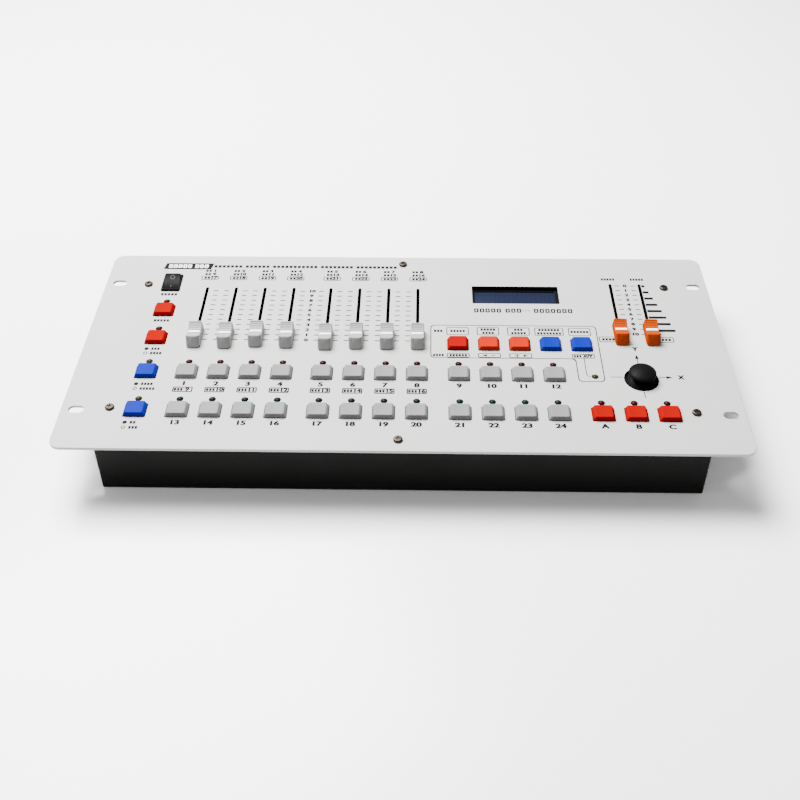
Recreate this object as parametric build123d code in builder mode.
"""Lighting control desk: a 19 inch, five unit rack panel on a shallow sheet steel tray.

Millimetres, +Z up. The origin is the middle of the tray's underside. +X runs along the
panel to the operator's right and +Y runs away from the operator, to the socket side.
Each sub-part is written as one STEP file in parts/, named after its node.
"""

import os
from math import acos, asin, cos, degrees, radians, sin

from build123d import *

os.makedirs("parts", exist_ok=True)

# ---------------------------------------------------------------- driving dimensions
# Panel: EIA 19 inch width, five rack units deep
panel_width = 482.6
panel_depth = 221.5
panel_thickness = 2.0
panel_corner = 8.5
rack_slot_spacing_x = 460.4
rack_slot_spacing_y = 146.05
rack_slot_length = 11.0
rack_slot_width = 7.0

# Tray under the panel
tray_width = 424.4
tray_depth = 209.5
tray_height = 44.0
tray_sheet = 1.2
tray_flange = 12.0
tray_bend = 1.6

panel_top = tray_height + panel_thickness

# Control columns, from the operator's left
column_pitch = 23.2
mode_column_x = -188.0
group_a_x = -158.4
group_b_x = -59.2
group_c_x = 41.0
scene_group_x = 141.2
keys_per_group = 4

# Key rows
upper_row_y = -33.4
lower_row_y = -73.4
function_row_y = 0.4
blackout_key_y = 38.0
run_edit_key_y = 4.6

# Keys
key_width = 15.5
key_depth = 13.1
key_gap = 0.45
key_top_width = 12.6
key_top_depth = 12.1
key_rise = 3.8
key_dish_depth = 0.35
key_wall = 1.3
key_lip = 1.2
key_stem_side = 4.0
key_travel = 1.5

# Lamps, 5 mm round LEDs behind the keys
lamp_diameter = 4.9
lamp_hole = 5.3
lamp_offset_y = 11.8
lamp_proud = 1.3
set_lamp_x = 140.0
set_lamp_y = -34.2

# Faders
fader_travel = 60.0
fader_slot_length = 69.0
fader_slot_width = 2.6
channel_fader_y = 34.0
master_fader_y = 42.0
fader_rest_lift = [1.5, 0.8, 2.8, 1.8, 0.0, 1.3, 1.2, 1.3, 0.4, 0.0]
fader_frame_width = 9.0
fader_frame_length = 75.0
fader_frame_height = 7.5
fader_lever_thickness = 1.2
fader_lever_width = 4.0

knob_width = 10.4
knob_length = 24.0
knob_top_length = 18.2
knob_height = 9.6
knob_gap = 0.9
knob_saddle = 6.4
knob_index_width = 1.5

# Control board, hung under the panel
board_top = panel_top - 19.0
board_thickness = 1.6
board_half_width = 200.0
board_front_y = -94.0
board_rear_y = 82.0
spacer_diameter = 5.0

# Display
display_x = 87.7
display_y = 61.2
display_window_width = 68.6
display_window_depth = 22.2
display_top = panel_top - 3.4

# Power switch
switch_x = -188.0
switch_y = 73.2
switch_bezel_width = 15.0
switch_bezel_length = 21.0
switch_bezel_height = 1.8
switch_body_width = 13.2
switch_body_length = 19.0
switch_body_depth = 15.0
rocker_half_length = 8.2
rocker_width = 12.0
rocker_tilt = 10.0
rocker_pivot_z = panel_top - 1.5

# Joystick
stick_x = 173.2
stick_y = -36.6
stick_hole_diameter = 25.2
stick_pivot_z = panel_top - 12.0
dome_radius = 15.5
dome_wall = 1.3
dome_reach = 80.0
stick_shaft_radius = 2.0
gimbal_side = 11.0
gimbal_axle_radius = 1.0
stick_axle_radius = 0.8
axle_clearance = 0.05

# Screws
screw_head_diameter = 6.6
screw_head_height = 1.9
screw_diameter = 3.5
socket_screw_head = 5.4
panel_screw_x = 206.6
panel_screw_y = 71.2
middle_screw_x = -2.1
middle_screw_y = 100.2

# Rear sockets, on the tray's far wall
socket_z = 22.0
dmx_socket_x = 150.0
midi_socket_x = -112.0
power_inlet_x = -168.0
dmx_hole_diameter = 24.0
midi_hole_diameter = 15.6
power_hole_diameter = 8.2
socket_screw_diameter = 2.9

MIN_Z = (Align.CENTER, Align.CENTER, Align.MIN)
MAX_Z = (Align.CENTER, Align.CENTER, Align.MAX)

# ---------------------------------------------------------------- places worked out from them
group_starts = [group_a_x, group_b_x, group_c_x]
columns = [x + column_pitch * i for x in group_starts for i in range(keys_per_group)]

key_places = {}
for i, x in enumerate(columns):
    key_places[f"key_{i + 1:02d}"] = (x, upper_row_y)
for i, x in enumerate(columns):
    key_places[f"key_{i + 13:02d}"] = (x, lower_row_y)
for i, label in enumerate(["clear", "step_back", "step_on", "release", "manual"]):
    key_places[f"key_{label}"] = (group_c_x + column_pitch * i, function_row_y)
key_places["key_blackout"] = (mode_column_x, blackout_key_y)
key_places["key_run_edit"] = (mode_column_x, run_edit_key_y)
key_places["key_scan_light"] = (mode_column_x, upper_row_y)
key_places["key_page"] = (mode_column_x, lower_row_y)
for i, label in enumerate("abc"):
    key_places[f"key_scene_{label}"] = (scene_group_x + column_pitch * i, lower_row_y)

unlit_keys = ["key_clear", "key_step_back", "key_step_on", "key_release", "key_manual"]
lamp_places = [
    (x, y + lamp_offset_y) for name, (x, y) in key_places.items() if name not in unlit_keys
]
lamp_places.append((set_lamp_x, set_lamp_y))

fader_places = [(x, channel_fader_y) for x in columns[:8]]
fader_places.append((scene_group_x + column_pitch, master_fader_y))
fader_places.append((scene_group_x + 2 * column_pitch, master_fader_y))
fader_names = [f"fader_{i + 1}" for i in range(8)] + ["speed_fader", "cross_fader"]

panel_screw_places = [(x, y) for x in (-panel_screw_x, panel_screw_x) for y in (-panel_screw_y, panel_screw_y)]
panel_screw_places += [(middle_screw_x, -middle_screw_y), (middle_screw_x, middle_screw_y)]

spacer_places = [(x, -88.0) for x in (-173.0, -74.0, 26.0, 126.0, 194.0)]
spacer_places += [(x, -50.0) for x in (-173.0, -74.0, 26.0, 126.0)]
spacer_places += [(-173.0, 76.0), (-74.0, 76.0), (26.0, 76.0), (140.0, 76.0), (196.5, 76.0)]

socket_screw_places = [
    (dmx_socket_x + 9.5, socket_z + 12.0),
    (dmx_socket_x - 9.5, socket_z - 12.0),
    (midi_socket_x - 11.15, socket_z),
    (midi_socket_x + 11.15, socket_z),
]

rear_wall_y = tray_depth / 2


def write(part, name):
    """Labels a finished sub-part and writes it as parts/name.step."""
    part.label = name
    export_step(part, f"parts/{name}.step")


def side_plane(x, y, z, tilt=0.0):
    """A plane seen from +X: its own x runs along +Y, tilted up by tilt degrees, its y up."""
    along = (0, cos(radians(tilt)), sin(radians(tilt)))
    return Plane(origin=(x, y, z), x_dir=along, z_dir=(1, 0, 0))


def wall_plane(x, z):
    """A plane on the outside of the rear wall, facing away from the operator."""
    return Plane(origin=(x, rear_wall_y, z), x_dir=(-1, 0, 0), z_dir=(0, 1, 0))


# ---------------------------------------------------------------- front panel
with BuildPart() as front_panel:
    with BuildSketch(Plane.XY.offset(tray_height)):
        RectangleRounded(panel_width, panel_depth, panel_corner)
        with GridLocations(rack_slot_spacing_x, rack_slot_spacing_y, 2, 2):
            SlotOverall(rack_slot_length, rack_slot_width, mode=Mode.SUBTRACT)
        with Locations(*key_places.values()):
            RectangleRounded(key_width + 2 * key_gap, key_depth + 2 * key_gap, 1.0, mode=Mode.SUBTRACT)
        with Locations(*fader_places):
            SlotOverall(fader_slot_length, fader_slot_width, rotation=90, mode=Mode.SUBTRACT)
        with Locations(*lamp_places):
            Circle(lamp_hole / 2, mode=Mode.SUBTRACT)
        with Locations((display_x, display_y)):
            RectangleRounded(display_window_width, display_window_depth, 0.6, mode=Mode.SUBTRACT)
        with Locations((switch_x, switch_y)):
            Rectangle(switch_body_width + 0.4, switch_body_length + 0.4, mode=Mode.SUBTRACT)
        with Locations((stick_x, stick_y)):
            Circle(stick_hole_diameter / 2, mode=Mode.SUBTRACT)
    extrude(amount=panel_thickness)
    with Locations(*[(x, y, panel_top) for x, y in panel_screw_places]):
        Hole(screw_diameter / 2 + 0.15, depth=panel_thickness)
    rim = front_panel.faces().sort_by(Axis.Z)[-1].outer_wire().edges()
    fillet(rim, 0.5)
write(front_panel.part, "front_panel")

# ---------------------------------------------------------------- sheet steel tray
with BuildPart() as tray:
    with BuildSketch():
        RectangleRounded(tray_width, tray_depth, tray_bend)
    extrude(amount=tray_height)
    with BuildSketch(Plane.XY.offset(tray_sheet)):
        Rectangle(tray_width - 2 * tray_sheet, tray_depth - 2 * tray_sheet)
    extrude(amount=tray_height - 2 * tray_sheet, mode=Mode.SUBTRACT)
    with BuildSketch(Plane.XY.offset(tray_height)):
        Rectangle(tray_width - 2 * tray_flange, tray_depth - 2 * tray_flange)
    extrude(amount=-tray_sheet, mode=Mode.SUBTRACT)
    with Locations(*[(x, y, tray_height) for x, y in panel_screw_places]):
        Hole(screw_diameter / 2 + 0.05, depth=tray_sheet)
    with BuildSketch(wall_plane(0, socket_z)):
        with Locations((-dmx_socket_x, 0)):
            Circle(dmx_hole_diameter / 2)
        with Locations((-midi_socket_x, 0)):
            Circle(midi_hole_diameter / 2)
        with Locations((-power_inlet_x, 0)):
            Circle(power_hole_diameter / 2)
        with Locations(*[(-x, z - socket_z) for x, z in socket_screw_places]):
            Circle(socket_screw_diameter / 2 + 0.05)
    extrude(amount=-tray_sheet, mode=Mode.SUBTRACT)
    rims = tray.edges().filter_by(GeomType.LINE).group_by(Axis.Z)[0]
    fillet(rims, 0.6)
write(tray.part, "tray")

# ---------------------------------------------------------------- keys
# One key at the origin: z 0 is the panel's upper face. It is a moulded cap with a lip that
# stops it under the panel, and a stem that stands on its switch's plunger.
stem_bottom = board_top + 9.0 - panel_top
lip_top = -panel_thickness - 0.2
with BuildPart() as key_cap:
    with BuildSketch(Plane.XY.offset(lip_top - 3.0)):
        RectangleRounded(key_width, key_depth, 0.8)
    extrude(amount=3.5 - lip_top)
    with BuildSketch(Plane.XY.offset(0.5)):
        RectangleRounded(key_width, key_depth, 0.8)
    with BuildSketch(Plane.XY.offset(key_rise)):
        RectangleRounded(key_top_width, key_top_depth, 1.4)
    loft()
    fillet(key_cap.faces().sort_by(Axis.Z)[-1].edges(), 0.5)
    dish_radius = (key_top_width / 2) ** 2 / (2 * key_dish_depth)
    with Locations((0, 0, key_rise + dish_radius - key_dish_depth)):
        Cylinder(dish_radius, 2 * key_depth, rotation=(90, 0, 0), mode=Mode.SUBTRACT)
    with BuildSketch(Plane.XY.offset(lip_top - 3.0)):
        RectangleRounded(key_width - 2 * key_wall, key_depth - 2 * key_wall, 0.5)
    extrude(amount=key_rise - key_wall - lip_top + 2.0, taper=4, mode=Mode.SUBTRACT)
    with BuildSketch(Plane.XY.offset(lip_top)):
        RectangleRounded(key_width + 2 * key_lip, key_depth + 2 * key_lip, 0.8)
        Rectangle(key_width - 2 * key_wall, key_depth - 2 * key_wall, mode=Mode.SUBTRACT)
    extrude(amount=-key_lip)
    with BuildSketch(Plane.XY.offset(key_rise - key_wall)):
        Rectangle(key_stem_side, key_stem_side)
    extrude(amount=stem_bottom - key_rise + key_wall)

with BuildPart() as key_plunger:
    with Locations((0, 0, stem_bottom)):
        Box(3.8, 3.8, 5.0, align=MAX_Z)

for name, (x, y) in key_places.items():
    with BuildPart() as key:
        with Locations((x, y, panel_top)):
            add(key_cap.part)
    with BuildPart() as plunger:
        with Locations((x, y, panel_top)):
            add(key_plunger.part)
    write(Compound(children=[key.part, plunger.part]), name)

# ---------------------------------------------------------------- key switches on the board
with BuildPart() as key_switch:
    with BuildSketch():
        RectangleRounded(12.0, 12.0, 0.8)
    extrude(amount=6.5)
    with BuildSketch(Plane.XY.offset(6.5)):
        Circle(3.2)
    extrude(amount=-5.0, mode=Mode.SUBTRACT)
    chamfer(key_switch.faces().sort_by(Axis.Z)[-1].outer_wire().edges(), 0.5)
    with GridLocations(9.0, 9.0, 2, 2):
        with Locations((0, 0, 6.5)):
            Cylinder(0.8, 0.4, align=MIN_Z)

with BuildPart() as key_switches:
    with Locations(*[(x, y, board_top) for x, y in key_places.values()]):
        add(key_switch.part)
write(key_switches.part, "key_switches")

# ---------------------------------------------------------------- lamps
lamp_body_height = 8.6
with BuildPart() as lamp:
    with BuildSketch(Plane.XZ):
        with BuildLine():
            radius = lamp_diameter / 2
            base = -lamp_body_height
            Polyline((0, base), (radius + 0.45, base), (radius + 0.45, base + 1.0), (radius, base + 1.0))
            Line((radius, base + 1.0), (radius, -radius))
            CenterArc((0, -radius), radius, 0, 90)
            Line((0, 0), (0, base))
        make_face()
    revolve(axis=Axis.Z)
    with Locations((-1.27, 0, -lamp_body_height), (1.27, 0, -lamp_body_height)):
        Box(0.5, 0.5, panel_top + lamp_proud - lamp_body_height - board_top, align=MAX_Z)

with BuildPart() as lamps:
    with Locations(*[(x, y, panel_top + lamp_proud) for x, y in lamp_places]):
        add(lamp.part)
write(lamps.part, "lamps")

# ---------------------------------------------------------------- faders
# A slide potentiometer's fixed frame: a folded steel channel with a slot along its top.
with BuildPart() as fader_frame:
    with Locations((0, 0, 0)):
        Box(fader_frame_width, fader_frame_length, fader_frame_height, align=MIN_Z)
    with Locations((0, 0, 1.0)):
        Box(fader_frame_width - 2, fader_frame_length - 2, fader_frame_height - 2, align=MIN_Z, mode=Mode.SUBTRACT)
    with BuildSketch(Plane.XY.offset(fader_frame_height)):
        SlotOverall(fader_travel + fader_lever_width + 2, 2.0, rotation=90)
    extrude(amount=-1.0, mode=Mode.SUBTRACT)
    for end in (-1, 1):
        with Locations((0, end * (fader_frame_length / 2 - 2.0), fader_frame_height)):
            Box(3.0, 4.0, 0.6, align=MIN_Z)

with BuildPart() as fader_frames:
    with Locations(*[(x, y, board_top) for x, y in fader_places]):
        add(fader_frame.part)
write(fader_frames.part, "fader_frames")

# The moving parts of one fader, at rest position zero: z 0 is the panel's upper face.
crest = knob_top_length / 2 - 1.2
with BuildPart() as knob:
    with BuildSketch(Plane.XY.offset(knob_gap)):
        RectangleRounded(knob_width, knob_length, 1.6)
    with BuildSketch(Plane.XY.offset(knob_height)):
        RectangleRounded(knob_width, knob_top_length, 1.6)
    loft()
    with BuildSketch(side_plane(-knob_width, 0, 0)):
        with BuildLine():
            Polyline((1.2, knob_saddle), (-1.2, knob_saddle))
            ThreePointArc((-1.2, knob_saddle), (-4.0, knob_saddle + 0.75), (-crest, knob_height))
            Polyline((-crest, knob_height), (-crest, 2 * knob_height), (crest, 2 * knob_height), (crest, knob_height))
            ThreePointArc((crest, knob_height), (4.0, knob_saddle + 0.75), (1.2, knob_saddle))
        make_face()
    extrude(amount=2 * knob_width, mode=Mode.SUBTRACT)
    for side in (-1, 1):
        for step in range(3):
            along = 3.2 + 1.75 * step
            height = knob_saddle + 0.42 + 0.62 * step + 0.16 * step * step
            with Locations((0, side * along, height + 0.25)):
                Cylinder(0.42, knob_width - 2.4, rotation=(0, 90, 0), mode=Mode.SUBTRACT)
        with Locations((0, side * 6.35, knob_gap)):
            Box(knob_width - 2.4, 5.7, 4.2, align=MIN_Z, mode=Mode.SUBTRACT)
    with Locations((0, 0, knob_saddle)):
        Box(knob_width - 1.8, knob_index_width, 0.8, align=MAX_Z, mode=Mode.SUBTRACT)
    with Locations((0, 0, knob_gap)):
        Box(fader_lever_thickness + 0.06, fader_lever_width + 0.06, 3.6, align=MIN_Z, mode=Mode.SUBTRACT)

with BuildPart() as index_bar:
    with Locations((0, 0, knob_saddle - 0.8)):
        Box(knob_width - 1.8, knob_index_width, 1.1, align=MIN_Z)
    fillet(index_bar.faces().sort_by(Axis.Z)[-1].edges(), 0.25)

carriage_z = board_top + 1.6 - panel_top
with BuildPart() as lever:
    with Locations((0, 0, carriage_z)):
        Box(fader_frame_width - 3, 8.0, 3.6, align=MIN_Z)
        Box(fader_lever_thickness, fader_lever_width, knob_gap + 3.4 - carriage_z, align=MIN_Z)

for name, (x, y), lift in zip(fader_names, fader_places, fader_rest_lift):
    rest = Location((x, y - fader_travel / 2 + lift, panel_top))
    pieces = []
    for template in (knob, index_bar, lever):
        with BuildPart() as piece:
            with Locations(rest):
                add(template.part)
        pieces.append(piece.part)
    write(Compound(children=pieces), name)

# ---------------------------------------------------------------- control board
with BuildPart() as board:
    with BuildSketch(Plane.XY.offset(board_top)):
        board_middle_y = (board_front_y + board_rear_y) / 2
        with Locations((0, board_middle_y)):
            RectangleRounded(2 * board_half_width, board_rear_y - board_front_y, 1.5)
        notch_width = board_half_width + switch_x + switch_body_width / 2 + 2.5
        notch_length = board_rear_y - switch_y + switch_body_length / 2 + 3.0
        with Locations((-board_half_width, board_rear_y)):
            Rectangle(notch_width, notch_length, align=(Align.MIN, Align.MAX), mode=Mode.SUBTRACT)
        with Locations(*spacer_places):
            Circle(1.6, mode=Mode.SUBTRACT)
    extrude(amount=-board_thickness)

# Hexagonal spacers stand on the panel's studs and carry the board on machine screws.
with BuildPart() as spacers:
    with BuildSketch(Plane.XY.offset(board_top)):
        with Locations(*spacer_places):
            RegularPolygon(spacer_diameter / 2, 6, major_radius=False)
            Circle(1.3, mode=Mode.SUBTRACT)
    extrude(amount=tray_height - board_top)

with BuildPart() as board_screws:
    with Locations(*[(x, y, board_top - board_thickness) for x, y in spacer_places]):
        Cylinder(2.6, 1.8, align=MAX_Z)
        Cylinder(1.25, board_thickness + 5.0, align=MIN_Z)
        with Locations((0, 0, -1.8)):
            Box(0.7, 3.4, 0.8, align=MIN_Z, mode=Mode.SUBTRACT)

# Chips, capacitors and pin headers on the board's underside.
board_under = board_top - board_thickness
with BuildPart() as board_chips:
    with Locations((-20.0, 20.0, board_under)):
        Box(52.0, 13.8, 4.2, align=MAX_Z)
    with Locations((-96.0, -10.0, board_under), (-96.0, 14.0, board_under), (60.0, 20.0, board_under)):
        Box(36.0, 13.8, 4.2, align=MAX_Z)
    with Locations(*[(-140.0 + 42.0 * i, -66.0, board_under) for i in range(8)]):
        Box(20.0, 7.0, 3.8, align=MAX_Z)

with BuildPart() as board_capacitors:
    with Locations((-150.0, 60.0, board_under), (-134.0, 60.0, board_under), (120.0, 40.0, board_under)):
        Cylinder(5.0, 12.0, align=MAX_Z)
    with Locations(*[(-60.0 + 14.0 * i, 46.0, board_under) for i in range(4)]):
        Cylinder(2.5, 7.0, align=MAX_Z)
    fillet(board_capacitors.edges().filter_by(GeomType.CIRCLE).group_by(Axis.Z)[0], 0.6)

with BuildPart() as board_headers:
    with Locations((-150.0, 74.0, board_under), (-112.0, 74.0, board_under), (150.0, 74.0, board_under)):
        Box(15.0, 5.8, 7.0, align=MAX_Z)

board_pieces = [board, spacers, board_screws, board_chips, board_capacitors, board_headers]
write(Compound(children=[piece.part for piece in board_pieces]), "control_board")

# ---------------------------------------------------------------- display module
display_bottom = display_top - 7.0
with BuildPart() as display_board:
    with BuildSketch(Plane.XY.offset(display_bottom)):
        with Locations((display_x, display_y)):
            RectangleRounded(80.0, 36.0, 1.0)
            with GridLocations(75.0, 31.0, 2, 2):
                Circle(1.25, mode=Mode.SUBTRACT)
    extrude(amount=-board_thickness)

with BuildPart() as display_bezel:
    with BuildSketch(Plane.XY.offset(display_bottom)):
        with Locations((display_x, display_y)):
            RectangleRounded(71.5, 26.4, 1.0)
            Rectangle(69.9, 24.8, mode=Mode.SUBTRACT)
    extrude(amount=7.0)
    with BuildSketch(Plane.XY.offset(display_top)):
        with Locations((display_x, display_y)):
            Rectangle(70.4, 25.3)
            RectangleRounded(64.6, 17.2, 0.8, mode=Mode.SUBTRACT)
    extrude(amount=-0.8)

with BuildPart() as display_glass:
    with Locations((display_x, display_y, display_top - 0.85)):
        Box(69.6, 24.4, 2.4, align=MAX_Z)

with BuildPart() as display_backlight:
    with Locations((display_x, display_y, display_bottom + 0.05)):
        Box(69.6, 24.4, 3.6, align=MIN_Z)

with BuildPart() as display_header:
    with Locations((display_x - 15.0, display_y + 16.4, board_top)):
        Box(40.6, 2.5, display_bottom - board_thickness - board_top, align=MIN_Z)

display_pieces = [display_board, display_bezel, display_glass, display_backlight, display_header]
write(Compound(children=[piece.part for piece in display_pieces]), "display_module")

# ---------------------------------------------------------------- power switch
with BuildPart() as power_switch_body:
    with BuildSketch(Plane.XY.offset(panel_top)):
        with Locations((switch_x, switch_y)):
            RectangleRounded(switch_bezel_width, switch_bezel_length, 1.0)
    extrude(amount=switch_bezel_height)
    bezel_top = power_switch_body.faces().sort_by(Axis.Z)[-1]
    chamfer(bezel_top.edges(), 0.7)
    with BuildSketch(Plane.XY.offset(panel_top)):
        with Locations((switch_x, switch_y)):
            Rectangle(switch_body_width, switch_body_length)
    extrude(amount=-switch_body_depth)
    with BuildSketch(Plane.XY.offset(panel_top + switch_bezel_height)):
        with Locations((switch_x, switch_y)):
            Rectangle(rocker_width + 0.4, 2 * rocker_half_length + 2.0)
    extrude(amount=-switch_bezel_height - 11.0, mode=Mode.SUBTRACT)
    with Locations((switch_x, switch_y - 5.5, panel_top - switch_body_depth), (switch_x, switch_y + 5.5, panel_top - switch_body_depth)):
        Box(4.8, 0.8, 7.0, align=MAX_Z)
    with Locations((switch_x, switch_y, rocker_pivot_z)):
        Cylinder(1.2, switch_body_width, rotation=(0, 90, 0))
write(power_switch_body.part, "power_switch_body")

# The rocker leans back on its far end: the near half lies level and the far half stands up.
with BuildPart() as power_rocker:
    with BuildSketch(side_plane(switch_x - rocker_width / 2, switch_y, rocker_pivot_z, rocker_tilt)):
        with BuildLine():
            ThreePointArc((-rocker_half_length, 4.8), (-4.2, 3.72), (0, 3.3))
            ThreePointArc((0, 3.3), (4.2, 3.72), (rocker_half_length, 4.8))
            Line((rocker_half_length, 4.8), (rocker_half_length - 0.8, -0.5))
            Polyline((rocker_half_length - 0.8, -0.5), (3.0, -3.6), (-3.0, -3.6), (0.8 - rocker_half_length, -0.5))
            Line((0.8 - rocker_half_length, -0.5), (-rocker_half_length, 4.8))
        make_face()
    extrude(amount=rocker_width)
    with Locations((switch_x, switch_y, rocker_pivot_z)):
        Cylinder(1.25, rocker_width + 1, rotation=(0, 90, 0), mode=Mode.SUBTRACT)
write(power_rocker.part, "power_rocker")

# ---------------------------------------------------------------- joystick
# A yoke on the board carries a gimbal ring that tips about X, and the stick tips about Y in
# the ring. Each axle turns an angle sensor. The stick's dome closes the panel's hole.
stick_pivot = (stick_x, stick_y, stick_pivot_z)
yoke_inner = gimbal_side + 2.6
yoke_wall = 1.2
sensor_thickness = 3.9
with BuildPart() as joystick_yoke:
    with Locations((stick_x, stick_y, board_top)):
        Box(yoke_inner + 2 * yoke_wall, 12.0, 1.0, align=MIN_Z)
        for side in (-1, 1):
            with Locations((side * (yoke_inner + yoke_wall) / 2, 0, 0)):
                Box(yoke_wall, 9.0, stick_pivot_z - board_top + 3.0, align=MIN_Z)
    with Locations(stick_pivot):
        with Locations((yoke_inner / 2 + yoke_wall, 0, 0)):
            Cylinder(5.0, sensor_thickness, rotation=(0, 90, 0), align=MIN_Z)
        Cylinder(
            gimbal_axle_radius + axle_clearance, yoke_inner + 2 * yoke_wall + 1, rotation=(0, 90, 0), mode=Mode.SUBTRACT
        )
write(joystick_yoke.part, "joystick_yoke")

with BuildPart() as gimbal_ring:
    with Locations(stick_pivot):
        Box(gimbal_side, gimbal_side, 4.0)
        Box(gimbal_side - 3.4, gimbal_side - 3.4, 4.0, mode=Mode.SUBTRACT)
        for side in (-1, 1):
            with Locations((side * (gimbal_side / 2 + 1.1), 0, 0)):
                Cylinder(gimbal_axle_radius, 2.4, rotation=(0, 90, 0))
        Cylinder(stick_axle_radius + axle_clearance, gimbal_side + 1, rotation=(90, 0, 0), mode=Mode.SUBTRACT)

with BuildPart() as ring_sensor:
    with Locations((stick_x, stick_y + gimbal_side / 2, stick_pivot_z)):
        Cylinder(3.0, 3.0, rotation=(-90, 0, 0), align=MIN_Z)
write(Compound(children=[gimbal_ring.part, ring_sensor.part]), "joystick_gimbal")

# The stick is a steel shaft, a moulded dome that closes the hole, and a thumb cap.
shaft_top = dome_radius + 3.9
bore_radius = stick_shaft_radius + 0.02
dome_inner = dome_radius - dome_wall
with BuildPart() as stick_shaft:
    Box(4.6, 6.4, 3.6)
    Cylinder(stick_axle_radius, gimbal_side - 0.4, rotation=(90, 0, 0))
    Cylinder(stick_shaft_radius, shaft_top, align=MIN_Z)

rim_angle = 90 - dome_reach
with BuildPart() as stick_dome:
    with BuildSketch(Plane.XZ):
        with BuildLine():
            outer = CenterArc((0, 0), dome_radius, rim_angle, degrees(acos(bore_radius / dome_radius)) - rim_angle)
            inner = CenterArc((0, 0), dome_inner, rim_angle, degrees(acos(bore_radius / dome_inner)) - rim_angle)
            Line(outer @ 0, inner @ 0)
            Line(outer @ 1, inner @ 1)
        make_face()
    revolve(axis=Axis.Z)

cap_shoulder = 9.1
cap_crown = 2.0
crown_radius = (cap_shoulder**2 + cap_crown**2) / (2 * cap_crown)
crown_angle = degrees(asin(cap_shoulder / crown_radius))
cap_bottom = dome_radius + 0.1
with BuildPart() as stick_cap:
    with BuildSketch(Plane.XZ):
        with BuildLine():
            crown_centre = (0, dome_radius + 6.3 - crown_radius)
            crown = CenterArc(crown_centre, crown_radius, 90 - crown_angle, crown_angle)
            rim = ThreePointArc(crown @ 0, (9.9, dome_radius + 3.0), (9.0, dome_radius + 1.9))
            Polyline(rim @ 1, (3.4, dome_radius + 1.1), (3.4, cap_bottom), (bore_radius, cap_bottom))
            Polyline((bore_radius, cap_bottom), (bore_radius, shaft_top + 0.1), (0, shaft_top + 0.1), crown @ 1)
        make_face()
    revolve(axis=Axis.Z)

stick_pieces = []
for template in (stick_shaft, stick_dome, stick_cap):
    with BuildPart() as piece:
        with Locations(stick_pivot):
            add(template.part)
    stick_pieces.append(piece.part)
write(Compound(children=stick_pieces), "joystick_stick")

# ---------------------------------------------------------------- rear sockets
# Each is modelled facing +Z with the wall's outer face at z 0, then set into the rear wall.
with BuildPart() as dmx_shell:
    with BuildSketch():
        RectangleRounded(26.0, 31.0, 3.0)
        with Locations((-9.5, 12.0), (9.5, -12.0)):
            Circle(socket_screw_diameter / 2 + 0.15, mode=Mode.SUBTRACT)
    extrude(amount=1.6)
    chamfer(dmx_shell.faces().sort_by(Axis.Z)[-1].outer_wire().edges(), 0.4)
    Cylinder(dmx_hole_diameter / 2 - 0.2, 18.0, align=MAX_Z)
    with Locations((0, 0, 1.6)):
        Cylinder(9.6, 16.6, align=MAX_Z, mode=Mode.SUBTRACT)

with BuildPart() as dmx_insert:
    with Locations((0, 0, -15.0)):
        Cylinder(7.6, 14.4, align=MIN_Z)
    with Locations((0, 0, -0.6)):
        with PolarLocations(4.2, 3, start_angle=30):
            Cylinder(1.3, 9.0, align=MAX_Z, mode=Mode.SUBTRACT)

with BuildPart() as dmx_latch:
    with BuildSketch(Plane.XY.offset(1.6)):
        with Locations((0, 12.6)):
            RectangleRounded(7.0, 3.6, 1.0)
    extrude(amount=1.0)

with BuildPart() as midi_shell:
    with BuildSketch():
        RectangleRounded(29.0, 17.5, 3.0)
        with Locations((-11.15, 0), (11.15, 0)):
            Circle(socket_screw_diameter / 2 + 0.15, mode=Mode.SUBTRACT)
    extrude(amount=1.0)
    Cylinder(midi_hole_diameter / 2 - 0.2, 12.0, align=MAX_Z)
    with Locations((0, 0, 1.0)):
        Cylinder(6.9, 12.0, align=MAX_Z, mode=Mode.SUBTRACT)

with BuildPart() as midi_insert:
    with Locations((0, 0, -11.0)):
        Cylinder(6.3, 10.6, align=MIN_Z)
    with Locations((0, 0, -0.4)):
        for angle in range(0, 181, 45):
            with PolarLocations(3.75, 1, start_angle=angle):
                Cylinder(0.75, 6.0, align=MAX_Z, mode=Mode.SUBTRACT)

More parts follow.
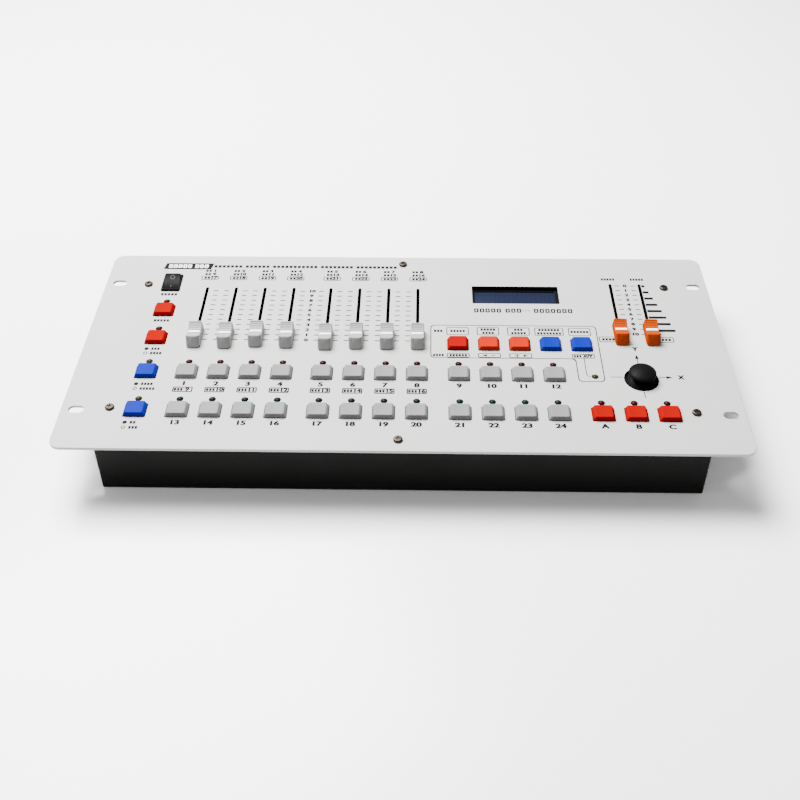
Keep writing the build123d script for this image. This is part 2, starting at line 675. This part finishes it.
with BuildPart() as power_shell:
    Cylinder(power_hole_diameter / 2 - 0.1, 12.0, align=MAX_Z)
    with BuildSketch():
        RegularPolygon(5.5, 6, major_radius=False)
    extrude(amount=1.8)
    with Locations((0, 0, 1.8)):
        Cylinder(4.0, 0.8, align=MIN_Z)
    with Locations((0, 0, 2.6)):
        Cylinder(2.9, 13.0, align=MAX_Z, mode=Mode.SUBTRACT)

with BuildPart() as power_pin:
    with Locations((0, 0, -10.4)):
        Cylinder(1.05, 11.0, align=MIN_Z)
    fillet(power_pin.faces().sort_by(Axis.Z)[-1].edges(), 0.4)

socket_pieces = []
socket_groups = [
    (dmx_socket_x, [dmx_shell, dmx_insert, dmx_latch]),
    (midi_socket_x, [midi_shell, midi_insert]),
    (power_inlet_x, [power_shell, power_pin]),
]
for x, templates in socket_groups:
    for template in templates:
        with BuildPart() as piece:
            with Locations(wall_plane(x, socket_z)):
                add(template.part)
        socket_pieces.append(piece.part)
write(Compound(children=socket_pieces), "rear_sockets")

# ---------------------------------------------------------------- screws
# Pan heads with a cross recess: six hold the panel to the tray, four hold the sockets.
def screw(head_diameter, head_height, shank_diameter, shank_length):
    """A pan head screw that points down, with its head's underside at z 0."""
    with BuildPart() as made:
        Cylinder(head_diameter / 2, head_height, align=MIN_Z)
        fillet(made.faces().sort_by(Axis.Z)[-1].edges(), 0.6 * head_height)
        Cylinder(shank_diameter / 2, shank_length, align=MAX_Z)
        with Locations((0, 0, head_height)):
            Box(0.55 * head_diameter, 0.14 * head_diameter, 1.0, align=MAX_Z, mode=Mode.SUBTRACT)
            Box(0.14 * head_diameter, 0.55 * head_diameter, 1.0, align=MAX_Z, mode=Mode.SUBTRACT)
    return made.part


panel_screw = screw(screw_head_diameter, screw_head_height, screw_diameter, 7.0)
socket_screw = screw(socket_screw_head, 1.5, socket_screw_diameter, 6.0)
with BuildPart() as screws:
    with Locations(*[(x, y, panel_top) for x, y in panel_screw_places]):
        add(panel_screw)
    for x, z in socket_screw_places:
        flange = 1.6 if x > 0 else 1.0
        with Locations(wall_plane(x, z).offset(flange)):
            add(socket_screw)
write(screws.part, "screws")
